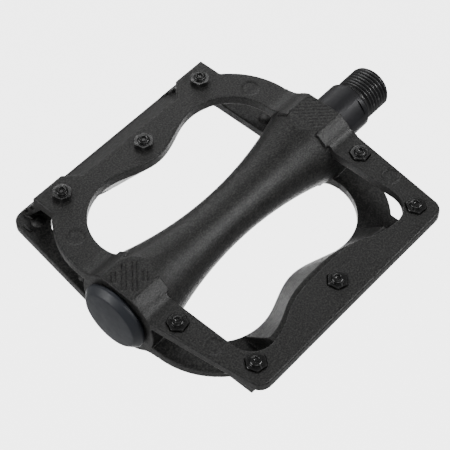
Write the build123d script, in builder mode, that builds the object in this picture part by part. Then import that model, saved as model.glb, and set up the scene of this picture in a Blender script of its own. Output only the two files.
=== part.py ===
from build123d import *
import os
from math import atan2, cos, sin, sqrt

# Flat bicycle pedal: a one-piece moulded platform that turns on a steel spindle.
# X runs along the spindle towards the crank, Y across the platform, Z up through the tread.
# The origin is on the spindle axis, at the shoulder that seats against the crank arm.
# The platform is the same when it is turned half a turn about the X axis, so either face is a tread.

os.makedirs("parts", exist_ok=True)

# ---------------------------------------------------------------- platform sizes
MID_X = -59.8               # middle of the platform
HALF_LENGTH = 46.0          # from the middle to either boss face
PLATE_Z = 8.0               # tread face of a plate
PLATE_T = 3.3               # plate thickness
PLATE_IN = PLATE_Z - PLATE_T
STRAIGHT_Y = 50.0           # outer edge of a plate's straight-sided half
STRAIGHT_ROOT_Y = 12.0      # where the straight arms start to taper
STRAIGHT_CORNER_X = 41.0    # half length of the straight half at its outer edge
STRAIGHT_CORNER_R = 4.0
ARCH_Y = 43.0               # outer edge of the corner tabs on a plate's arched half
TAB_OUT_X = 37.0            # outer side of a corner tab
TAB_IN_X = 25.3             # inner side of a corner tab
SEAT_Y = 38.2               # plate edge along the reflector seat
SEAT_HALF_X = 20.5          # half length of that edge
ARCH_CENTRE = (19.7, 15.0)  # centre of the arched arm's outer edge
ARCH_OUT_R = 26.3
ARCH_WINDOW_CENTRE = (19.5, 14.5)
ARCH_WINDOW_R = 16.6
ARCH_WAVE = (28.8, 26.4)    # inner edge of the arched half: half way along the wave, and at the middle pin
STRAIGHT_WINDOW_CENTRE = (28.3, 34.9)
STRAIGHT_WINDOW_R = 7.5
STRAIGHT_WAVE = (38.1, 36.8)
CORNER_SETBACK = 0.1        # how far a window's upright corners stand back from its leaning wall
EDGE_R = 0.6                # rounding of the plate edges

# ---------------------------------------------------------------- rail between the two plates
CORE_HALF_X = 26.0
CORE_IN_Y = 20.0
SEAT_LIP = 1.2              # drop from the tread face to the reflector seat
SEAT_FOOT_Y = 49.4
CORNER_WALL = 3.0           # thickness of the grooved walls that close the hollow corners
GROOVE_DEPTH = 1.4
GROOVE_SPANS = ((0.16, 0.38), (0.56, 0.78))   # as fractions of the block's slanted face

# ---------------------------------------------------------------- barrel and bosses
WAIST_R = 8.05
FLARE_X, FLARE_R = 32.5, 12.34   # where the waist's curve passes into a straight flare
BOSS_START_X = 37.5         # where the flare reaches the boss radius
BOSS_R = 13.8
PAD_Z = 12.4                # flat pads on the bosses
PAD_HALF_Y = sqrt(BOSS_R**2 - PAD_Z**2)
SHOULDER_START_X = 34.7     # inner end of the shoulders beside a pad
RAMP_START_X = 36.0         # inner end of the ramps, level with the arms' inner edges
RAMP_ARCH_R = 8.5           # hollow ramps from the bosses down to the arms
RAMP_STRAIGHT_R = 4.5

# ---------------------------------------------------------------- bearings
BALL_R = 3.969 / 2
RACE_R = BALL_R + 0.036
INBOARD_BALL_X, INBOARD_PITCH_R, INBOARD_BALLS = -19.1, 8.2, 12
OUTBOARD_BALL_X, OUTBOARD_PITCH_R, OUTBOARD_BALLS = -97.2, 7.0, 10
CUP_MOUTH = 2.6             # from the ball centre to the cup's open face
CUP_FLOOR = 3.5             # from the ball centre to the cup's seated face
INBOARD_CUP_R, OUTBOARD_CUP_R = 11.5, 10.2
INBOARD_LIP_R, OUTBOARD_LIP_R = 7.0, 5.6
BORE_R = 5.6

# ---------------------------------------------------------------- spindle and its fittings
THREAD_R = 14.288 / 2       # 9/16 in x 20 pedal thread
THREAD_LENGTH = 11.6
THREAD_CHAMFER = 1.2
SHANK_R = 8.0
SHANK_CHAMFER = 0.6
FLATS = 15.0                # across the wrench flats
FLATS_TURN = 50             # turn of the wrench flats about the axle, in degrees
FLAT_FROM_X, FLAT_TO_X = -2.0, -11.0
RACE_NOSE = 1.2             # straight stretch inboard of the ball centres
NECK_R = 5.1
MIDDLE_R = 4.6
END_THREAD_R = 3.95
CONE_NOSE, CONE_BACK = 1.2, 4.4
CONE_R = 6.5
CONE_FLATS_LENGTH = 1.8
CONE_FLATS = 11.0
WASHER_T, WASHER_R = 1.0, 6.2
NUT_T, NUT_FLATS = 3.6, 11.0
END_PROUD = 0.6
SEAL_FACE_X, SEAL_T = -14.3, 1.8
RUN_GAP = 0.05              # radial clearance of the seal on the turning shank
FIT_GAP = 0.02              # radial clearance of parts seated in a bore
KEY_WIDTH, KEY_DEPTH = 1.6, 0.8

# ---------------------------------------------------------------- dust cap
CAP_NECK_R, CAP_NECK = 10.6, 0.5   # narrow step that holds the flange off the boss face
CAP_FLANGE_R = 11.3
CAP_FACE_R = 9.4
CAP_SKIRT_IN_R = 9.1
CAP_SKIRT_LENGTH = 1.6
CAP_FLANGE_T = 1.6
CAP_HEIGHT = 4.0
CAP_DOME = 0.5
CAP_WALL = 1.3

# ---------------------------------------------------------------- traction pins
# name: (along the platform from its middle, across it, turn of the hexagon in degrees)
ARCH_PINS = {
    "arch_outboard": (-30.3, 37.3, 41),
    "arch_middle": (0.0, 32.8, 41),
    "arch_inboard": (30.3, 37.3, 37),
}
STRAIGHT_PINS = {
    "arm_outboard": (-40.7, -18.6, 9),
    "corner_outboard": (-36.0, -43.3, 50),
    "edge_middle": (0.0, -42.8, 40),
    "corner_inboard": (36.0, -43.3, 54),
    "arm_inboard": (40.7, -18.6, 6),
}
PIN_FLATS = 5.5
PIN_HEX_T = 1.7
PIN_STUD_R, PIN_STUD_T = 1.9, 1.0
PIN_SHANK_R, PIN_SHANK_T = 2.0, 2.1
PIN_SOCKET_FLATS, PIN_SOCKET_DEPTH = 1.5, 1.6
PIN_CUP_R, PIN_CUP_DEPTH = 1.35, 0.5
PIN_POCKET_DEPTH = 1.1
PIN_POCKET_GAP = 0.15
PIN_CHAMFER = 0.35

# ---------------------------------------------------------------- marks moulded into the treads
MARK_R, MARK_DEPTH = 2.8, 0.2
MARKS = ((-38.6, 23.5), (38.6, 23.5), (-39.8, -31.0), (39.8, -31.0))
COARSE_GRIP_DEPTH, FINE_GRIP_DEPTH = 0.3, 0.15
GRIP_CENTRE_X = 40.4        # middle of a pad's grip, from the middle of the platform
COARSE_GRIP = ((-4.5, 3.8), (-1.5, 9.0), (1.5, 10.5), (4.5, 3.6))   # offset and length of each bar
COARSE_GRIP_WIDTH, COARSE_GROOVE_WIDTH = 1.2, 0.5   # across a bar's two grooves, and of each groove
FINE_GRIP_COUNT, FINE_GRIP_PITCH, FINE_GRIP_WIDTH = 13, 1.25, 0.45
FINE_GRIP_AREA = (9.4, 11.2)


def tread_plane(height):
    """Plane parallel to the tread, centred on the platform, at a height above the axle."""
    return Plane(origin=(MID_X, 0, height), z_dir=(0, 0, 1), x_dir=(1, 0, 0))


def cross_plane(x):
    """Plane across the spindle at X: its local axes are Y and Z."""
    return Plane(origin=(x, 0, 0), z_dir=(1, 0, 0), x_dir=(0, 1, 0))


def finish(piece, label):
    """Label a finished piece and write its STEP file."""
    piece.label = label
    export_step(piece, f"parts/{label}.step")


# ================================================================ platform outlines
def window(centre, radius, wave):
    """Opening between barrel and rail: two rounded ends and a wave that bulges in at the middle pin."""
    cx, cy = centre
    half_y, middle_y = wave
    side = cx + radius
    crest = cy + radius
    with BuildSketch() as opening:
        with BuildLine():
            Line((-side, 0), (-side, cy))
            RadiusArc((-side, cy), (-cx, crest), radius)
            Spline(
                (-cx, crest),
                (-cx / 2, half_y),
                (0, middle_y),
                (cx / 2, half_y),
                (cx, crest),
                tangents=((1, 0), (1, 0)),
            )
            RadiusArc((cx, crest), (side, cy), radius)
            Line((side, cy), (side, 0))
            Line((side, 0), (-side, 0))
        make_face()
    return opening.sketch


def plate_outline():
    """Outline of one tread plate: straight-sided for Y below 0, arched with corner tabs above 0."""
    arch_x, arch_y = ARCH_CENTRE
    tab_root_y = arch_y + sqrt(ARCH_OUT_R**2 - (TAB_OUT_X - arch_x) ** 2)
    with BuildSketch() as outline:
        with BuildLine():
            Line((0, SEAT_Y), (SEAT_HALF_X, SEAT_Y))
            Line((SEAT_HALF_X, SEAT_Y), (TAB_IN_X, ARCH_Y))
            Line((TAB_IN_X, ARCH_Y), (TAB_OUT_X, ARCH_Y))
            Line((TAB_OUT_X, ARCH_Y), (TAB_OUT_X, tab_root_y))
            RadiusArc((TAB_OUT_X, tab_root_y), (HALF_LENGTH, arch_y), ARCH_OUT_R)
            Line((HALF_LENGTH, arch_y), (HALF_LENGTH, -STRAIGHT_ROOT_Y))
            Line((HALF_LENGTH, -STRAIGHT_ROOT_Y), (STRAIGHT_CORNER_X, -STRAIGHT_Y))
            Line((STRAIGHT_CORNER_X, -STRAIGHT_Y), (0, -STRAIGHT_Y))
            mirror(about=Plane.YZ)
        make_face()
        fillet(outline.vertices().group_by(Axis.Y)[0], STRAIGHT_CORNER_R)
    return outline.sketch


def corner_wall_profile():
    """Section of a hollow corner's slanted wall, with two grooves across its outer face."""
    top = Vector(ARCH_Y, PLATE_IN)
    foot = Vector(STRAIGHT_Y, -PLATE_IN)
    run = foot - top
    inward = Vector(run.Y, -run.X).normalized()
    wall = Vector(-CORNER_WALL, 0)
    corners = [foot + wall, top + wall, top]
    for start, end in GROOVE_SPANS:
        rims = (top + run * start, top + run * end)
        corners += [rims[0], rims[0] + inward * GROOVE_DEPTH, rims[1] + inward * GROOVE_DEPTH, rims[1]]
    corners.append(foot)
    with BuildSketch() as section:
        with BuildLine():
            Polyline(*corners, close=True)
        make_face()
    return section.sketch


def seat_profile():
    """Section of the rail core, with the slanted seat left for a reflector."""
    with BuildSketch() as section:
        with BuildLine():
            Polyline(
                (CORE_IN_Y, -PLATE_IN),
                (CORE_IN_Y, PLATE_Z - SEAT_LIP),
                (SEAT_Y, PLATE_Z - SEAT_LIP),
                (SEAT_FOOT_Y, -PLATE_IN),
                close=True,
            )
        make_face()
    return section.sketch


def barrel_profile():
    """Half section of the barrel along the spindle: a gentle waist that flares out to the bosses."""
    with BuildSketch() as section:
        with BuildLine():
            ThreePointArc((-FLARE_X, FLARE_R), (0, WAIST_R), (FLARE_X, FLARE_R))
            Polyline(
                (FLARE_X, FLARE_R),
                (BOSS_START_X, BOSS_R),
                (BOSS_START_X, 0),
                (-BOSS_START_X, 0),
                (-BOSS_START_X, BOSS_R),
                (-FLARE_X, FLARE_R),
            )
        make_face()
    return section.sketch


def flank_points(side, ramp_radius):
    """Pad edge, a point half way round the flank, the ramp's upper end, and its foot on the arm."""
    reach = sqrt((BOSS_R + ramp_radius) ** 2 - (PLATE_Z + ramp_radius) ** 2)
    pad_angle = atan2(PAD_Z, PAD_HALF_Y)
    touch_angle = atan2(PLATE_Z + ramp_radius, reach)
    angles = (pad_angle, (pad_angle + touch_angle) / 2, touch_angle)
    return [Vector(side * BOSS_R * cos(angle), BOSS_R * sin(angle)) for angle in angles] + [
        Vector(side * reach, PLATE_Z)
    ]


def shoulder_section(side, ramp_radius, with_ramp):
    """Section beside a pad, down to the plate's inner face, with or without the hollow ramp."""
    pad_edge, middle, touch, foot = flank_points(side, ramp_radius)
    with BuildSketch() as section:
        with BuildLine():
            ThreePointArc(pad_edge, middle, touch)
            if with_ramp:
                RadiusArc(touch, foot, -side * ramp_radius)
                Line(foot, (foot.X, PLATE_IN))
            else:
                Line(touch, (touch.X, PLATE_IN))
                foot = touch
            Polyline((foot.X, PLATE_IN), (pad_edge.X, PLATE_IN), pad_edge)
        make_face()
    return section.sketch


def both_faces(section):
    """A section together with its half-turned copy for the other tread."""
    with BuildSketch() as pair:
        add(section)
        add(section.rotate(Axis.Z, 180))
    return pair.sketch


def boss_section():
    """Whole section of a boss: pads above and below, ramps to the plates, round between the plates."""
    pad_edge, middle, touch, foot = flank_points(1, RAMP_ARCH_R)
    low_pad_edge, low_middle, low_touch, low_foot = (-point for point in flank_points(-1, RAMP_STRAIGHT_R))
    rim_y = sqrt(BOSS_R**2 - PLATE_IN**2)
    with BuildLine() as half:
        ThreePointArc(pad_edge, middle, touch)
        RadiusArc(touch, foot, -RAMP_ARCH_R)
        Polyline(foot, (foot.X, PLATE_IN), (rim_y, PLATE_IN))
        ThreePointArc((rim_y, PLATE_IN), (BOSS_R, 0), (rim_y, -PLATE_IN))
        Polyline((rim_y, -PLATE_IN), (low_foot.X, -PLATE_IN), low_foot)
        RadiusArc(low_touch, low_foot, RAMP_STRAIGHT_R)
        ThreePointArc(low_pad_edge, low_middle, low_touch)
        Line(low_pad_edge, -pad_edge)
    with BuildSketch() as section:
        with BuildLine():
            add(half.line)
            add(half.line.rotate(Axis.Z, 180))
        make_face()
    return section.sketch


# ================================================================ platform
# The opening on the arched side of the upper plate: upright through that plate, then leaning out
# until it meets the lower plate's straight-sided window. Beyond the rail core the lower window is
# upright as well.
with BuildPart() as opening_cut:
    with BuildSketch(tread_plane(PLATE_IN)) as arch_window:
        add(window(ARCH_WINDOW_CENTRE, ARCH_WINDOW_R, ARCH_WAVE))
    extrude(amount=PLATE_T)
    with BuildSketch(tread_plane(-PLATE_Z)) as straight_window:
        add(window(STRAIGHT_WINDOW_CENTRE, STRAIGHT_WINDOW_R, STRAIGHT_WAVE))
    loft(sections=[arch_window.sketch, straight_window.sketch], ruled=True)
    with BuildSketch(tread_plane(-PLATE_Z)):
        add(window(STRAIGHT_WINDOW_CENTRE, STRAIGHT_WINDOW_R + CORNER_SETBACK, STRAIGHT_WAVE))
        Rectangle(2 * CORE_HALF_X, 2 * STRAIGHT_Y, mode=Mode.SUBTRACT)
    extrude(amount=PLATE_T)
turned_opening = opening_cut.part.rotate(Axis.X, 180)

# One tread plate with the rail under its arched edge. The same piece turned over makes the rest.
with BuildPart() as tread_half:
    with BuildSketch(tread_plane(PLATE_IN)):
        add(plate_outline())
    extrude(amount=PLATE_T)
    fillet(tread_half.faces().sort_by(Axis.Z)[-1].outer_wire().edges(), EDGE_R)
    with BuildSketch(cross_plane(MID_X - CORE_HALF_X)):
        add(seat_profile())
    extrude(amount=2 * CORE_HALF_X)
    for start_x in (MID_X - TAB_OUT_X, MID_X + TAB_IN_X):
        with BuildSketch(cross_plane(start_x)):
            add(corner_wall_profile())
        extrude(amount=TAB_OUT_X - TAB_IN_X)
turned_half = tread_half.part.rotate(Axis.X, 180)

# Barrel, and the boss at each end with its shoulders and ramps.
with BuildPart() as barrel:
    with BuildSketch(tread_plane(0)):
        add(barrel_profile())
    revolve(axis=Axis.X)

with BuildPart() as bosses:
    for outward in (1, -1):
        with BuildSketch(cross_plane(MID_X + outward * BOSS_START_X)):
            add(boss_section())
        extrude(amount=outward * (HALF_LENGTH - BOSS_START_X))
        for side, ramp_radius in ((1, RAMP_ARCH_R), (-1, RAMP_STRAIGHT_R)):
            with BuildSketch(cross_plane(MID_X + outward * RAMP_START_X)):
                add(both_faces(shoulder_section(side, ramp_radius, True)))
            extrude(amount=outward * (BOSS_START_X - RAMP_START_X))
            with BuildSketch(cross_plane(MID_X + outward * SHOULDER_START_X)):
                add(both_faces(shoulder_section(side, ramp_radius, False)))
            extrude(amount=outward * (RAMP_START_X - SHOULDER_START_X))

# Everything that is sunk into one tread face: pins, moulding marks, pad grips.
pin_sites = [(x, y, turn, 0.0) for x, y, turn in ARCH_PINS.values()]
pin_sites += [(x, y, turn, PIN_POCKET_DEPTH) for x, y, turn in STRAIGHT_PINS.values()]

with BuildPart() as tread_cuts:
    for x, y, turn, depth in pin_sites:
        with BuildSketch(tread_plane(PLATE_Z)):
            with Locations((x, y)):
                Circle(PIN_SHANK_R)
        extrude(amount=-depth - PIN_SHANK_T)
        if depth:
            with BuildSketch(tread_plane(PLATE_Z)):
                with Locations(Location((x, y, 0), turn)):
                    RegularPolygon(PIN_FLATS / 2 + PIN_POCKET_GAP, 6, major_radius=False)
            extrude(amount=-depth)
    with BuildSketch(tread_plane(PLATE_Z)):
        with Locations(*MARKS):
            Circle(MARK_R)
    extrude(amount=-MARK_DEPTH)
    with BuildSketch(tread_plane(PAD_Z)):
        for offset, length in COARSE_GRIP:
            with Locations(Location((-GRIP_CENTRE_X + offset * sqrt(0.5), -offset * sqrt(0.5), 0), 45)):
                with GridLocations(0, COARSE_GRIP_WIDTH, 1, 2):
                    Rectangle(length, COARSE_GROOVE_WIDTH)
    extrude(amount=-COARSE_GRIP_DEPTH)
    with BuildSketch(tread_plane(PAD_Z)):
        with Locations(Location((GRIP_CENTRE_X, 0, 0), 45)):
            with GridLocations(FINE_GRIP_PITCH, 0, FINE_GRIP_COUNT, 1):
                Rectangle(FINE_GRIP_WIDTH, sum(FINE_GRIP_AREA))
        with Locations((GRIP_CENTRE_X + 0.5, 0)):
            Rectangle(*FINE_GRIP_AREA, mode=Mode.INTERSECT)
    extrude(amount=-FINE_GRIP_DEPTH)
turned_cuts = tread_cuts.part.rotate(Axis.X, 180)

with BuildPart() as pedal_body:
    add(tread_half.part)
    add(turned_half)
    add(opening_cut.part, mode=Mode.SUBTRACT)
    add(turned_opening, mode=Mode.SUBTRACT)
    add(barrel.part)
    add(bosses.part)
    for side in (1, -1):
        with BuildSketch(tread_plane(side * PAD_Z)):
            Rectangle(2 * HALF_LENGTH + 2, 2 * BOSS_R)
        extrude(amount=side * BOSS_R, mode=Mode.SUBTRACT)
    with BuildSketch(cross_plane(MID_X - HALF_LENGTH)):
        Circle(OUTBOARD_CUP_R)
    extrude(amount=OUTBOARD_BALL_X + CUP_FLOOR - (MID_X - HALF_LENGTH), mode=Mode.SUBTRACT)
    with BuildSketch(cross_plane(MID_X + HALF_LENGTH)):
        Circle(INBOARD_CUP_R)
    extrude(amount=INBOARD_BALL_X - CUP_FLOOR - (MID_X + HALF_LENGTH), mode=Mode.SUBTRACT)
    with BuildSketch(cross_plane(MID_X - HALF_LENGTH)):
        Circle(BORE_R)
    extrude(amount=2 * HALF_LENGTH, mode=Mode.SUBTRACT)
    add(tread_cuts.part, mode=Mode.SUBTRACT)
    add(turned_cuts, mode=Mode.SUBTRACT)
finish(pedal_body.part, "pedal_body")


# ================================================================ spindle
def keyway_plane():
    """Plane through the spindle axis that carries the keyway sketch."""
    return Plane(origin=(0, 0, END_THREAD_R), z_dir=(0, 0, -1), x_dir=(1, 0, 0))


cone_back_x = OUTBOARD_BALL_X - CONE_BACK
spindle_end_x = cone_back_x - WASHER_T - NUT_T - END_PROUD
inboard_race_x = INBOARD_BALL_X + sqrt(RACE_R**2 - (INBOARD_PITCH_R - SHANK_R) ** 2)
inboard_race_r = INBOARD_PITCH_R - RACE_R

with BuildPart() as spindle:
    with BuildSketch(Plane.XY):
        with BuildLine():
            RadiusArc((inboard_race_x, SHANK_R), (INBOARD_BALL_X, inboard_race_r), RACE_R)
            Polyline(
                (INBOARD_BALL_X, inboard_race_r),
                (INBOARD_BALL_X - RACE_NOSE, inboard_race_r),
                (INBOARD_BALL_X - 2 * RACE_NOSE, NECK_R),
                (INBOARD_BALL_X - 3 * CUP_FLOOR, MIDDLE_R),
                (OUTBOARD_BALL_X + CUP_FLOOR, MIDDLE_R),
                (OUTBOARD_BALL_X + CUP_FLOOR, END_THREAD_R),
                (spindle_end_x + KEY_DEPTH, END_THREAD_R),
                (spindle_end_x, END_THREAD_R - KEY_DEPTH),
                (spindle_end_x, 0),
                (THREAD_LENGTH, 0),
                (THREAD_LENGTH, THREAD_R - THREAD_CHAMFER),
                (THREAD_LENGTH - THREAD_CHAMFER, THREAD_R),
                (0, THREAD_R),
                (0, SHANK_R - SHANK_CHAMFER),
                (-SHANK_CHAMFER, SHANK_R),
                (inboard_race_x, SHANK_R),
            )
        make_face()
    revolve(axis=Axis.X)
    for side in (1, -1):
        with BuildSketch(Plane.XY.rotated((FLATS_TURN, 0, 0)).offset(side * FLATS / 2)):
            with Locations(((FLAT_FROM_X + FLAT_TO_X) / 2, 0)):
                Rectangle(FLAT_FROM_X - FLAT_TO_X, 2 * SHANK_R)
        extrude(amount=side * SHANK_R, mode=Mode.SUBTRACT)
    with BuildSketch(keyway_plane()):
        with Locations(((spindle_end_x + cone_back_x) / 2, 0)):
            Rectangle(cone_back_x - spindle_end_x, KEY_WIDTH)
    extrude(amount=KEY_DEPTH, mode=Mode.SUBTRACT)
finish(spindle.part, "spindle")


# ================================================================ bearings
def bearing_cup(ball_x, pitch_r, outer_r, lip_r, floor_side):
    """Pressed cup whose floor faces the platform's middle: floor_side is the sign of X towards it."""
    race_r = pitch_r + RACE_R
    with BuildPart() as cup:
        with BuildSketch(Plane.XY):
            with BuildLine():
                RadiusArc((ball_x, race_r), (ball_x + floor_side * RACE_R, pitch_r), floor_side * RACE_R)
                Polyline(
                    (ball_x + floor_side * RACE_R, pitch_r),
                    (ball_x + floor_side * RACE_R, lip_r),
                    (ball_x + floor_side * CUP_FLOOR, lip_r),
                    (ball_x + floor_side * CUP_FLOOR, outer_r - FIT_GAP),
                    (ball_x - floor_side * CUP_MOUTH, outer_r - FIT_GAP),
                    (ball_x - floor_side * CUP_MOUTH, race_r),
                    (ball_x, race_r),
                )
            make_face()
        revolve(axis=Axis.X)
    return cup.part


def ball_ring(ball_x, pitch_r, count):
    """Full complement of loose balls."""
    with BuildPart() as ring:
        with Locations(cross_plane(ball_x)):
            with PolarLocations(pitch_r, count):
                Sphere(BALL_R)
    return ring.part


finish(bearing_cup(INBOARD_BALL_X, INBOARD_PITCH_R, INBOARD_CUP_R, INBOARD_LIP_R, -1), "inboard_cup")
finish(bearing_cup(OUTBOARD_BALL_X, OUTBOARD_PITCH_R, OUTBOARD_CUP_R, OUTBOARD_LIP_R, 1), "outboard_cup")
finish(ball_ring(INBOARD_BALL_X, INBOARD_PITCH_R, INBOARD_BALLS), "inboard_balls")
finish(ball_ring(OUTBOARD_BALL_X, OUTBOARD_PITCH_R, OUTBOARD_BALLS), "outboard_balls")

# Adjustable cone, screwed along the spindle from its free end.
cone_race_r = OUTBOARD_PITCH_R - RACE_R
cone_race_x = OUTBOARD_BALL_X - sqrt(RACE_R**2 - (OUTBOARD_PITCH_R - CONE_R) ** 2)
with BuildPart() as outboard_cone:
    with BuildSketch(Plane.XY):
        with BuildLine():
            RadiusArc((OUTBOARD_BALL_X, cone_race_r), (cone_race_x, CONE_R), RACE_R)
            Polyline(
                (cone_race_x, CONE_R),
                (cone_back_x, CONE_R),
                (cone_back_x, END_THREAD_R),
                (OUTBOARD_BALL_X + CONE_NOSE, END_THREAD_R),
                (OUTBOARD_BALL_X + CONE_NOSE, cone_race_r),
                (OUTBOARD_BALL_X, cone_race_r),
            )
        make_face()
    revolve(axis=Axis.X)
    for side in (1, -1):
        with BuildSketch(Plane.XY.offset(side * CONE_FLATS / 2)):
            with Locations((cone_back_x + CONE_FLATS_LENGTH / 2, 0)):
                Rectangle(CONE_FLATS_LENGTH, 2 * CONE_R)
        extrude(amount=side * CONE_R, mode=Mode.SUBTRACT)
finish(outboard_cone.part, "outboard_cone")

# Keyed washer and lock nut that hold the cone's setting.
with BuildPart() as lock_washer:
    with BuildSketch(cross_plane(cone_back_x)):
        Circle(WASHER_R)
        Circle(END_THREAD_R, mode=Mode.SUBTRACT)
        with Locations((0, END_THREAD_R - KEY_DEPTH / 2)):
            Rectangle(KEY_WIDTH, KEY_DEPTH)
    extrude(amount=-WASHER_T)
finish(lock_washer.part, "lock_washer")

with BuildPart() as lock_nut:
    with BuildSketch(cross_plane(cone_back_x - WASHER_T)):
        RegularPolygon(NUT_FLATS / 2, 6, major_radius=False)
        Circle(END_THREAD_R, mode=Mode.SUBTRACT)
    extrude(amount=-NUT_T)
finish(lock_nut.part, "lock_nut")

# Rubber ring that closes the bearing around the shank.
with BuildPart() as inboard_seal:
    with BuildSketch(cross_plane(SEAL_FACE_X)):
        Circle(INBOARD_CUP_R - FIT_GAP)
        Circle(SHANK_R + RUN_GAP, mode=Mode.SUBTRACT)
    extrude(amount=-SEAL_T)
finish(inboard_seal.part, "inboard_seal")

# ================================================================ dust cap
# Hollow push-in cap with a stepped flange, a tapered shoulder and a slightly domed face.
cap_x = MID_X - HALF_LENGTH
with BuildPart() as dust_cap:
    with BuildSketch(Plane.XY):
        with BuildLine():
            Polyline(
                (cap_x + CAP_SKIRT_LENGTH, CAP_SKIRT_IN_R),
                (cap_x + CAP_SKIRT_LENGTH, OUTBOARD_CUP_R - FIT_GAP),
                (cap_x, OUTBOARD_CUP_R - FIT_GAP),
                (cap_x, CAP_NECK_R),
                (cap_x - CAP_NECK, CAP_NECK_R),
                (cap_x - CAP_NECK, CAP_FLANGE_R),
                (cap_x - CAP_FLANGE_T, CAP_FLANGE_R),
                (cap_x - CAP_HEIGHT + CAP_DOME, CAP_FACE_R),
            )
            TangentArc(
                (cap_x - CAP_HEIGHT, 0),
                (cap_x - CAP_HEIGHT + CAP_DOME, CAP_FACE_R),
                tangent=(0, 1),
            )
            Polyline(
                (cap_x - CAP_HEIGHT, 0),
                (cap_x - CAP_HEIGHT + CAP_WALL, 0),
                (cap_x - CAP_HEIGHT + CAP_WALL, CAP_SKIRT_IN_R - CAP_WALL),
                (cap_x - CAP_FLANGE_T, CAP_SKIRT_IN_R),
                (cap_x + CAP_SKIRT_LENGTH, CAP_SKIRT_IN_R),
            )
        make_face()
    revolve(axis=Axis.X)
finish(dust_cap.part, "dust_cap")


# ================================================================ traction pins
def traction_pin():
    """Pin standing on its hexagon's underside at the origin: cup-ended stud above, screw shank below."""
    with BuildPart() as pin:
        with BuildSketch():
            RegularPolygon(PIN_FLATS / 2, 6, major_radius=False)
        extrude(amount=PIN_HEX_T)
        chamfer(pin.faces().sort_by(Axis.Z)[-1].edges(), PIN_CHAMFER)
        with BuildSketch(Plane.XY.offset(PIN_HEX_T)):
            Circle(PIN_STUD_R)
        extrude(amount=PIN_STUD_T)
        with BuildSketch():
            Circle(PIN_SHANK_R)
        extrude(amount=-PIN_SHANK_T)
        ends = pin.edges().filter_by(GeomType.CIRCLE).sort_by(Axis.Z)
        chamfer([ends[0], ends[-1]], PIN_CHAMFER)
        with BuildSketch(Plane.XY.offset(PIN_HEX_T + PIN_STUD_T)):
            Circle(PIN_CUP_R)
        extrude(amount=-PIN_CUP_DEPTH, mode=Mode.SUBTRACT)
        with BuildSketch(Plane.XY.offset(PIN_HEX_T + PIN_STUD_T)):
            RegularPolygon(PIN_SOCKET_FLATS / 2, 6, major_radius=False)
        extrude(amount=-PIN_SOCKET_DEPTH, mode=Mode.SUBTRACT)
    return pin.part


for name, (x, y, turn) in {**ARCH_PINS, **STRAIGHT_PINS}.items():
    seat_z = PLATE_Z if name in ARCH_PINS else PLATE_Z - PIN_POCKET_DEPTH
    seated_pin = traction_pin().rotate(Axis.Z, turn).translate((MID_X + x, y, seat_z))
    finish(seated_pin, f"pin_top_{name}")
    finish(seated_pin.rotate(Axis.X, 180), f"pin_bottom_{name}")
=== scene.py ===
import math

import bmesh
import bpy
from mathutils import Matrix, Vector


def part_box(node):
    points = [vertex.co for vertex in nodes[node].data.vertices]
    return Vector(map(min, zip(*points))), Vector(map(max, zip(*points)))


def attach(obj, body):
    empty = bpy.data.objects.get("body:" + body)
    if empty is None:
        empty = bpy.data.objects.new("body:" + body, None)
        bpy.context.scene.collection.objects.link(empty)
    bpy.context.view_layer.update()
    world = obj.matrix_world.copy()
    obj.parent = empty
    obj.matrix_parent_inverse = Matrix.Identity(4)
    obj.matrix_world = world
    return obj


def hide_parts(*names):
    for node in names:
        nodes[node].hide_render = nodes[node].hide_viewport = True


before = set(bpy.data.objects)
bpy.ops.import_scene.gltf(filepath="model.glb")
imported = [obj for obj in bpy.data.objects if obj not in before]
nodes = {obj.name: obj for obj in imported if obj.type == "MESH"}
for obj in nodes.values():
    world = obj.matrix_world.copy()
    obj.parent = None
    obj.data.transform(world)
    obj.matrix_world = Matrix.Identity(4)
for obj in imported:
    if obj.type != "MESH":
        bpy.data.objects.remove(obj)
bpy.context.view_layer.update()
MM = 0.001
WELD_GAP = 0.002 * MM


# ---------------------------------------------------------------- materials
class Nodes:
    """One procedural material and the shortcuts that wire its shader nodes."""

    def __init__(self, name):
        self.mat = bpy.data.materials.new(name)
        self.mat.use_nodes = True
        self.tree = self.mat.node_tree
        self.bsdf = self.tree.nodes["Principled BSDF"]
        self.coords = self.tree.nodes.new("ShaderNodeTexCoord").outputs["Object"]

    def add(self, kind, **inputs):
        node = self.tree.nodes.new(kind)
        for key, value in inputs.items():
            self.put(node.inputs[key], value)
        return node

    def put(self, socket, value):
        if isinstance(value, bpy.types.NodeSocket):
            self.tree.links.new(value, socket)
        else:
            socket.default_value = value

    def noise(self, scale, detail=3.0, rough=0.55, vector=None):
        node = self.add("ShaderNodeTexNoise", Scale=scale, Detail=detail, Roughness=rough)
        self.put(node.inputs["Vector"], vector or self.coords)
        return node.outputs["Fac"]

    def ramp(self, value, stops):
        """Value carried from the first two stops to the last two, and held there."""
        node = self.tree.nodes.new("ShaderNodeMapRange")
        node.clamp = True
        self.put(node.inputs["Value"], value)
        for key, number in zip(("From Min", "From Max", "To Min", "To Max"), stops):
            node.inputs[key].default_value = number
        return node.outputs["Result"]

    def math(self, operation, a, b):
        node = self.tree.nodes.new("ShaderNodeMath")
        node.operation = operation
        self.put(node.inputs[0], a)
        self.put(node.inputs[1], b)
        return node.outputs[0]

    def mix(self, factor, a, b):
        node = self.tree.nodes.new("ShaderNodeMix")
        node.data_type = "RGBA"
        self.put(node.inputs["Factor"], factor)
        self.put(node.inputs[6], a)
        self.put(node.inputs[7], b)
        return node.outputs[2]

    def bump(self, height, distance, strength=1.0, normal=None):
        node = self.add("ShaderNodeBump", Height=height, Distance=distance, Strength=strength)
        if normal:
            self.put(node.inputs["Normal"], normal)
        return node.outputs["Normal"]

    def edges(self, low, high):
        """0 below one measure of convexity and 1 above another; a flat face measures 0.5."""
        point = self.tree.nodes.new("ShaderNodeNewGeometry").outputs["Pointiness"]
        return self.ramp(point, (low, high, 0.0, 1.0))


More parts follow.
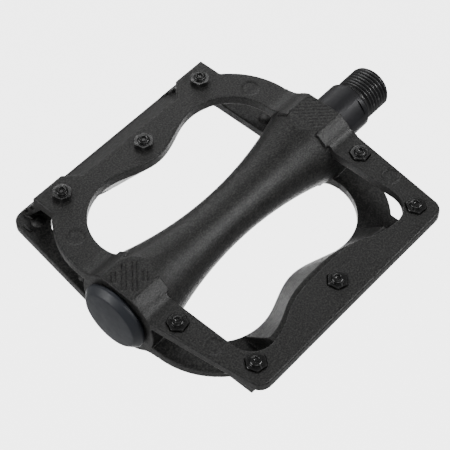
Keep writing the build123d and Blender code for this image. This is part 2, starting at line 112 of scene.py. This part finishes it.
def moulded_plastic():
    """Near-black glass-filled plastic: fine moulded grain, slight flow clouding, and convex edges
    lightened in patches, partly worn and partly a painted highlight.
    """
    n = Nodes("moulded_plastic")
    grain = n.noise(2000.0, 3.0, 0.7)
    mottle = n.noise(620.0, 4.0, 0.6)
    cloud = n.noise(60.0, 3.0)
    speck = n.ramp(grain, (0.44, 0.62, 0.0, 1.0))
    clouding = n.ramp(cloud, (0.3, 0.7, 0.0, 1.0))
    base = n.mix(clouding, (0.004, 0.004, 0.0043, 1), (0.008, 0.008, 0.0083, 1))
    speckled = n.mix(speck, base, (0.036, 0.036, 0.034, 1))
    # Convex edges lightened in patches: partly worn plastic, partly a painted highlight.
    scuff_and_highlight = n.math("MULTIPLY", n.edges(0.53, 0.60), n.ramp(mottle, (0.40, 0.60, 0.0, 1.0)))
    n.put(n.bsdf.inputs["Base Color"], n.mix(scuff_and_highlight, speckled, (0.045, 0.045, 0.046, 1)))
    n.put(n.bsdf.inputs["Roughness"], n.ramp(mottle, (0.3, 0.7, 0.36, 0.50)))
    # Painted shade: the hollows of the tread's grip lines get a lower specular level, so they
    # reflect less and read darker.
    hollow_shade_specular = n.math("MULTIPLY", n.edges(0.44, 0.495), 0.42)
    n.put(n.bsdf.inputs["Specular IOR Level"], hollow_shade_specular)
    fine = n.bump(grain, 0.00012, 1.0)
    n.put(n.bsdf.inputs["Normal"], n.bump(mottle, 0.00003, 0.5, fine))
    return n.mat


def satin_cap():
    """Smooth slate-black plastic of the dust cap."""
    n = Nodes("satin_cap")
    cloud = n.noise(140.0, 4.0)
    slate = n.mix(cloud, (0.017, 0.020, 0.026, 1), (0.028, 0.031, 0.038, 1))
    n.put(n.bsdf.inputs["Base Color"], slate)
    n.put(n.bsdf.inputs["Roughness"], n.ramp(n.noise(400.0, 3.0), (0.3, 0.7, 0.40, 0.50)))
    n.put(n.bsdf.inputs["Specular IOR Level"], 0.45)
    n.put(n.bsdf.inputs["Normal"], n.bump(n.noise(3500.0, 2.0), 0.00002, 0.5))
    return n.mat


def black_steel(name, base, rough, wear_and_highlight=0.0):
    """Blackened steel; the last argument sets how far the convex edges are lightened in patches
    towards bare metal, partly worn and partly a painted highlight.
    """
    n = Nodes(name)
    stain = n.ramp(n.noise(220.0, 4.0), (0.3, 0.7, 0.0, 1.0))
    dark = n.mix(stain, base + (1,), tuple(c * 1.5 for c in base) + (1,))
    # Convex edges lightened in patches towards bare metal: partly worn, partly a painted highlight.
    patchy = n.ramp(n.noise(1500.0, 3.0), (0.35, 0.6, 0.2 * wear_and_highlight, wear_and_highlight))
    rubbed_and_highlit = n.math("MULTIPLY", n.edges(0.54, 0.62), patchy)
    n.put(n.bsdf.inputs["Base Color"], n.mix(rubbed_and_highlit, dark, (0.22, 0.22, 0.22, 1)))
    n.put(n.bsdf.inputs["Metallic"], 0.35)
    finish = n.ramp(n.noise(900.0, 3.0), (0.3, 0.7, rough - 0.05, rough + 0.06))
    n.put(n.bsdf.inputs["Roughness"], finish)
    n.put(n.bsdf.inputs["Normal"], n.bump(n.noise(2600.0, 3.0), 0.00002, 0.5))
    return n.mat


def bright_steel():
    """Ground steel with fine turning lines."""
    n = Nodes("ground_steel")
    stretch = n.add("ShaderNodeMapping", Scale=(6000.0, 300.0, 300.0))
    n.put(stretch.inputs["Vector"], n.coords)
    lines = n.noise(1.0, 3.0, 0.6, stretch.outputs["Vector"])
    n.put(n.bsdf.inputs["Base Color"], (0.5, 0.5, 0.51, 1))
    n.put(n.bsdf.inputs["Metallic"], 1.0)
    n.put(n.bsdf.inputs["Roughness"], n.ramp(lines, (0.3, 0.7, 0.22, 0.4)))
    n.put(n.bsdf.inputs["Normal"], n.bump(lines, 0.00001, 0.4))
    return n.mat


def seal_rubber():
    """Matt black rubber."""
    n = Nodes("seal_rubber")
    dull = n.mix(n.noise(300.0), (0.008, 0.008, 0.008, 1), (0.016, 0.016, 0.016, 1))
    n.put(n.bsdf.inputs["Base Color"], dull)
    n.put(n.bsdf.inputs["Roughness"], n.ramp(n.noise(900.0), (0.3, 0.7, 0.55, 0.75)))
    n.put(n.bsdf.inputs["Normal"], n.bump(n.noise(2200.0), 0.00003, 0.5))
    return n.mat


plastic = moulded_plastic()
cap_plastic = satin_cap()
spindle_steel = black_steel("black_spindle", (0.012, 0.012, 0.014), 0.46)
thread_steel = black_steel("black_thread", (0.034, 0.034, 0.035), 0.32, 0.9)
pin_steel = black_steel("black_pins", (0.012, 0.012, 0.012), 0.24, 0.4)
ground = bright_steel()
rubber = seal_rubber()


def paint(obj, material):
    """Give an object one material."""
    obj.data.materials.clear()
    obj.data.materials.append(material)


CAD_PAINT = {
    "spindle": spindle_steel,
    "dust_cap": cap_plastic,
    "inboard_seal": rubber,
    "pedal_body": plastic,
}
for name, node in nodes.items():
    paint(node, pin_steel if name.startswith("pin_") else CAD_PAINT.get(name, ground))


# ---------------------------------------------------------------- helpers for shapes
RELAX_FACTOR = 0.5


def new_object(name, bm):
    """Smooth-shaded object made from a bmesh, which is freed."""
    mesh = bpy.data.meshes.new(name)
    bm.to_mesh(mesh)
    bm.free()
    for face in mesh.polygons:
        face.use_smooth = True
    obj = bpy.data.objects.new(name, mesh)
    bpy.context.scene.collection.objects.link(obj)
    return obj


def ring(bm, x, radii):
    """Loop of vertices round the axle at X, one for each radius, in millimetres."""
    count = len(radii)
    return [
        bm.verts.new((
            x * MM,
            radius * MM * math.cos(math.tau * i / count),
            radius * MM * math.sin(math.tau * i / count),
        ))
        for i, radius in enumerate(radii)
    ]


def skin(bm, rings):
    """Quads between neighbouring loops."""
    for near, far in zip(rings, rings[1:]):
        for i in range(len(near)):
            j = (i + 1) % len(near)
            bm.faces.new((near[i], near[j], far[j], far[i]))


def solid_from(node, name, voxel, smooth):
    """Watertight copy of a CAD node with moulded, softly rounded edges; voxel is in millimetres."""
    copy = bpy.data.objects.new(name, node.data.copy())
    bpy.context.scene.collection.objects.link(copy)
    weld = copy.modifiers.new("weld", "WELD")
    weld.merge_threshold = WELD_GAP
    remesh = copy.modifiers.new("remesh", "REMESH")
    remesh.mode = "VOXEL"
    remesh.voxel_size = voxel * MM
    remesh.use_smooth_shade = True
    relax = copy.modifiers.new("relax", "SMOOTH")
    relax.factor = RELAX_FACTOR
    relax.iterations = smooth
    final = copy.evaluated_get(bpy.context.evaluated_depsgraph_get())
    shape = bpy.data.meshes.new_from_object(final)
    copy.modifiers.clear()
    copy.data = shape
    for face in shape.polygons:
        face.use_smooth = True
    return copy


# ---------------------------------------------------------------- moulded platform and cap
PLATFORM_VOXEL, PLATFORM_RELAX = 0.22, 2
CAP_VOXEL, CAP_RELAX = 0.16, 24

platform = solid_from(nodes["pedal_body"], "platform", PLATFORM_VOXEL, PLATFORM_RELAX)
paint(platform, plastic)
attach(platform, "cage")
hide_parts("pedal_body")

cap = solid_from(nodes["dust_cap"], "end_cap", CAP_VOXEL, CAP_RELAX)
paint(cap, cap_plastic)
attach(cap, "cage")
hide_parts("dust_cap")

# Short stiffening ribs on the inner face of each plate's straight-sided corners, and low round
# pads there that back the pins sunk into the tread.
MID_X, PLATE_IN = -59.8, 4.7
RIBS = ((-36.6, 46.7), (-40.0, 43.9))
RIB_SIZE = (0.7, 3.3, 0.5)
PAD_R, PAD_T, PAD_SIDES = 2.3, 0.14, 32
DETAIL_BEVEL = 0.03


def inner_details():
    """Ribs and pads on the inner faces of both plates."""
    bm = bmesh.new()
    for face in (1, -1):
        for along in (1, -1):
            for x, y in RIBS:
                height = -face * (PLATE_IN - RIB_SIZE[2] / 2)
                spot = Vector((MID_X + along * x, face * y, height)) * MM
                size = Matrix.Diagonal((*(Vector(RIB_SIZE) * MM), 1))
                bmesh.ops.create_cube(bm, size=1, matrix=Matrix.Translation(spot) @ size)
    for name in nodes:
        if name.startswith("pin_") and "arch" not in name:
            low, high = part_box(name)
            side = 1 if name.startswith("pin_top") else -1
            spot = Vector(((low[0] + high[0]) / 2, (low[1] + high[1]) / 2, side * PLATE_IN * MM))
            bmesh.ops.create_cone(
                bm,
                cap_ends=True,
                segments=PAD_SIDES,
                radius1=PAD_R * MM,
                radius2=PAD_R * MM,
                depth=PAD_T * MM,
                matrix=Matrix.Translation(spot),
            )
    bmesh.ops.bevel(bm, geom=bm.edges[:], offset=DETAIL_BEVEL * MM, segments=2, affect="EDGES")
    return new_object("inner_details", bm)


details = inner_details()
paint(details, plastic)
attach(details, "cage")


# ---------------------------------------------------------------- spindle with its cut thread
CREST_R, ROOT_R, PITCH = 7.144, 6.3, 1.27
RELIEF_R, RELIEF_END = 6.1, 0.9
NECK_X = 0.15  # where the crank shoulder's face has dropped to the relief
THREAD_END, END_CHAMFER = 11.6, 1.2
# Shares of the way from a tooth's root to its crest: flat root, then flank, then flat crest.
ROOT_SHARE, FLANK_SHARE = 0.12, 0.76
CENTRE_R, CENTRE_DEPTH = 1.6, 1.4
ROW_STEP, THREAD_SIDES = 0.1, 120
SHANK_CUT, SHANK_BEVEL = 0.01, 0.25
FLAT_ANGLE, SHANK_CREASE, THREAD_CREASE = (math.radians(angle) for angle in (0.5, 35, 50))


def thread_radius(x, turn):
    """Radius of the cut thread at X and at a fraction of a turn round the axle."""
    phase = (x / PITCH - turn) % 1
    tooth = min(max((1 - abs(2 * phase - 1) - ROOT_SHARE) / FLANK_SHARE, 0), 1)
    start = min(max((x - RELIEF_END) / PITCH, 0), 1)
    root = RELIEF_R + (ROOT_R - RELIEF_R) * start
    limit = CREST_R - max(0, x - (THREAD_END - END_CHAMFER))
    return min(root + (CREST_R - root) * tooth * start, limit)


def thread():
    """Thread from the crank shoulder to the free end, with a lathe centre in its end face."""
    bm = bmesh.new()
    rows = round((THREAD_END - RELIEF_END) / ROW_STEP)
    rings = [
        ring(bm, 0, [CREST_R] * THREAD_SIDES),
        ring(bm, NECK_X, [RELIEF_R] * THREAD_SIDES),
    ]
    for row in range(rows + 1):
        x = RELIEF_END + row * ROW_STEP
        radii = [thread_radius(x, i / THREAD_SIDES) for i in range(THREAD_SIDES)]
        rings.append(ring(bm, x, radii))
    rings.append(ring(bm, THREAD_END, [CENTRE_R] * THREAD_SIDES))
    skin(bm, rings)
    tip = bm.verts.new(((THREAD_END - CENTRE_DEPTH) * MM, 0, 0))
    for i in range(THREAD_SIDES):
        bm.faces.new((rings[-1][i], rings[-1][(i + 1) % THREAD_SIDES], tip))
    bmesh.ops.recalc_face_normals(bm, faces=bm.faces[:])
    obj = new_object("spindle_thread", bm)
    obj.data.set_sharp_from_angle(angle=THREAD_CREASE)
    return obj


def soften(obj, width):
    """Break the sharp edges of an object with a narrow bevel."""
    bevel = obj.modifiers.new("bevel", "BEVEL")
    bevel.width = width
    bevel.segments = 2
    bevel.limit_method = "ANGLE"
    bevel.angle_limit = SHANK_CREASE
    bevel.harden_normals = True


def shank():
    """The rest of the spindle: the CAD node cut off at the crank shoulder."""
    bm = bmesh.new()
    bm.from_mesh(nodes["spindle"].data)
    bmesh.ops.remove_doubles(bm, verts=bm.verts[:], dist=WELD_GAP)
    bmesh.ops.bisect_plane(
        bm,
        geom=bm.verts[:] + bm.edges[:] + bm.faces[:],
        plane_co=(SHANK_CUT * MM, 0, 0),
        plane_no=(1, 0, 0),
        clear_outer=True,
    )
    bmesh.ops.dissolve_limit(
        bm, angle_limit=FLAT_ANGLE, verts=bm.verts[:], edges=bm.edges[:]
    )
    obj = new_object("spindle_shank", bm)
    obj.data.set_sharp_from_angle(angle=SHANK_CREASE)
    soften(obj, SHANK_BEVEL * MM)
    return obj


for piece, steel in ((shank(), spindle_steel), (thread(), thread_steel)):
    paint(piece, steel)
    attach(piece, "spindle")
    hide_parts("spindle")


# ---------------------------------------------------------------- traction pins
PIN_FLATS, PIN_SIDES = 5.5, 48
# Height above the pin's seat and radius, both in millimetres. The hexagon's rings give, in place of
# a radius, the share of the corners' radius that the corners are turned down to.
HEX_RINGS = ((0.0, 1.0), (1.45, 1.0), (1.60, 0.97), (1.68, 0.93))
STUD_RINGS = (
    (1.70, 2.35), (1.70, 1.95), (1.75, 1.90), (2.10, 1.88), (2.32, 1.80), (2.50, 1.62),
    (2.62, 1.36), (2.68, 1.10), (2.66, 0.96), (2.58, 0.88), (2.42, 0.82), (2.20, 0.74),
    (2.05, 0.50),
)
PIN_SHANK_R, PIN_SHANK_T = 2.0, 2.1
PIN_CREASE = math.radians(28)


def hexagon(angle):
    """Distance to the rim of the pin's hexagon, whose corners are at every 60 degrees from 0."""
    sixth = math.tau / 6
    return PIN_FLATS / 2 / math.cos(angle % sixth - sixth / 2)


def pin_mesh():
    """Pin on its seat: screw shank, chamfered hexagon, and a domed stud with a small socket."""
    bm = bmesh.new()
    angles = [math.tau * i / PIN_SIDES for i in range(PIN_SIDES)]
    layers = [(-PIN_SHANK_T, [PIN_SHANK_R] * PIN_SIDES), (0, [PIN_SHANK_R] * PIN_SIDES)]
    for height, share in HEX_RINGS:
        widest = PIN_FLATS / 2 / math.cos(math.pi / 6) * share
        layers.append((height, [min(hexagon(angle), widest) for angle in angles]))
    layers += [(height, [radius] * PIN_SIDES) for height, radius in STUD_RINGS]
    rings = [
        [
            bm.verts.new(Vector((radius * math.cos(angle), radius * math.sin(angle), height)) * MM)
            for radius, angle in zip(radii, angles)
        ]
        for height, radii in layers
    ]
    skin(bm, rings)
    bm.faces.new(rings[0])
    bm.faces.new(rings[-1])
    bmesh.ops.recalc_face_normals(bm, faces=bm.faces[:])
    pin = new_object("pin", bm)
    pin.data.set_sharp_from_angle(angle=PIN_CREASE)
    paint(pin, pin_steel)
    bpy.context.scene.collection.objects.unlink(pin)
    return pin.data


def pin_turn(node, centre):
    """Angle of one corner of a CAD pin's hexagon, seen from above."""
    arms = [node.matrix_world @ vertex.co - centre for vertex in node.data.vertices]
    corner = max(arms, key=lambda arm: arm.xy.length)
    return math.atan2(corner.y, corner.x)


shared_pin = pin_mesh()
for name, node in nodes.items():
    if not name.startswith("pin_"):
        continue
    low, high = (Vector(corner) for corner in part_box(name))
    centre = (low + high) / 2
    below = name.startswith("pin_bottom")
    seat = high.z - PIN_SHANK_T * MM if below else low.z + PIN_SHANK_T * MM
    pin = bpy.data.objects.new(name.replace("pin_", "stud_"), shared_pin)
    bpy.context.scene.collection.objects.link(pin)
    upright = Matrix.Rotation(math.pi if below else 0, 4, "X")
    turn = Matrix.Rotation(pin_turn(node, centre), 4, "Z")
    pin.matrix_world = Matrix.Translation((centre.x, centre.y, seat)) @ turn @ upright
    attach(pin, "cage")
    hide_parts(name)


# ---------------------------------------------------------------- stage
FLOOR_Z = -0.45
POOL_CENTRE, POOL_INNER, POOL_OUTER = (0.19, 0.22), 0.275, 0.29
# Glow of the floor, which is painted light: strength inside the pool and outside it.
POOL_GLOW, FLOOR_GLOW = 4.0, 0.12
FLOOR_HALF = 1.5
CAMERA_PLACE = Vector((-0.2605, -0.1766, 0.3560))
CAMERA_TURN = (-48.68, 53.40, 0.28)  # azimuth, elevation and roll in degrees
SENSOR_WIDTH, FOCAL_LENGTH, CLIP_START = 36.0, 119.04, 0.01
LIGHT_AIM, LIGHT_SPREAD = Vector((-0.058, 0, 0)), math.radians(90)
STUDIO_BRIGHTNESS = 0.20
# Name, place in metres, size in metres, and power in watts.
LIGHTS = (
    ("back_window", (0.30, 0.50, 0.20), (0.5, 0.18), 0.22),
    ("top_strip", (0.23, 0.33, 0.47), (0.35, 0.06), 0.12),
    ("front_strip", (0.25, -0.42, 0.42), (0.4, 0.06), 0.75),
    ("near_fill", (-0.42, -0.45, 0.62), (0.4, 0.3), 0.36),
    ("outboard_fill", (-0.70, 0.45, 0.35), (0.5, 0.4), 1.0),
)


def backdrop():
    """Pale floor, well below the pedal so that no shadow falls on it; it glows as painted light,
    brightest in a soft pool, and so also lights the pedal from below.
    """
    bm = bmesh.new()
    bmesh.ops.create_grid(bm, x_segments=4, y_segments=4, size=FLOOR_HALF)
    floor = new_object("floor", bm)
    floor.location = (*POOL_CENTRE, FLOOR_Z)
    n = Nodes("glowing_pale_floor")
    pale = n.mix(n.noise(8.0), (0.88, 0.88, 0.88, 1), (0.9, 0.9, 0.9, 1))
    n.put(n.bsdf.inputs["Base Color"], pale)
    n.put(n.bsdf.inputs["Roughness"], 0.9)
    n.put(n.bsdf.inputs["Specular IOR Level"], 0.1)
    # Painted light: the floor glows white, strongly in the pool and faintly elsewhere.
    n.put(n.bsdf.inputs["Emission Color"], (1, 1, 1, 1))
    distance = n.add("ShaderNodeVectorMath")
    distance.operation = "LENGTH"
    n.put(distance.inputs[0], n.coords)
    glow = (POOL_INNER, POOL_OUTER, POOL_GLOW, FLOOR_GLOW)
    pool = n.ramp(distance.outputs["Value"], glow)
    n.put(n.bsdf.inputs["Emission Strength"], pool)
    paint(floor, n.mat)


def area_light(name, place, size, power):
    """Soft box facing the pedal."""
    data = bpy.data.lights.new(name, "AREA")
    data.shape = "RECTANGLE"
    data.size, data.size_y = size
    data.energy = power
    data.spread = LIGHT_SPREAD
    light = bpy.data.objects.new(name, data)
    bpy.context.scene.collection.objects.link(light)
    light.location = place
    light.rotation_euler = (LIGHT_AIM - Vector(place)).to_track_quat("-Z", "Y").to_euler()


def camera():
    """The photograph's viewpoint."""
    azimuth, elevation, roll = (math.radians(angle) for angle in CAMERA_TURN)
    forward = Vector((
        -math.sin(azimuth) * math.cos(elevation),
        math.cos(azimuth) * math.cos(elevation),
        -math.sin(elevation),
    ))
    right = Vector((math.cos(azimuth), math.sin(azimuth), 0))
    up = right.cross(forward)
    right, up = (
        math.cos(roll) * right + math.sin(roll) * up,
        -math.sin(roll) * right + math.cos(roll) * up,
    )
    data = bpy.data.cameras.new("camera")
    data.sensor_width = SENSOR_WIDTH
    data.lens = FOCAL_LENGTH
    data.clip_start = CLIP_START
    cam = bpy.data.objects.new("camera", data)
    bpy.context.scene.collection.objects.link(cam)
    turn = Matrix((right, up, -forward)).transposed().to_4x4()
    cam.matrix_world = Matrix.Translation(CAMERA_PLACE) @ turn
    bpy.context.scene.camera = cam


def studio():
    """Even grey surroundings."""
    world = bpy.data.worlds.new("studio")
    world.use_nodes = True
    background = world.node_tree.nodes["Background"]
    background.inputs["Color"].default_value = (1, 1, 1, 1)
    background.inputs["Strength"].default_value = STUDIO_BRIGHTNESS
    bpy.context.scene.world = world


backdrop()
for light in LIGHTS:
    area_light(*light)
studio()
camera()
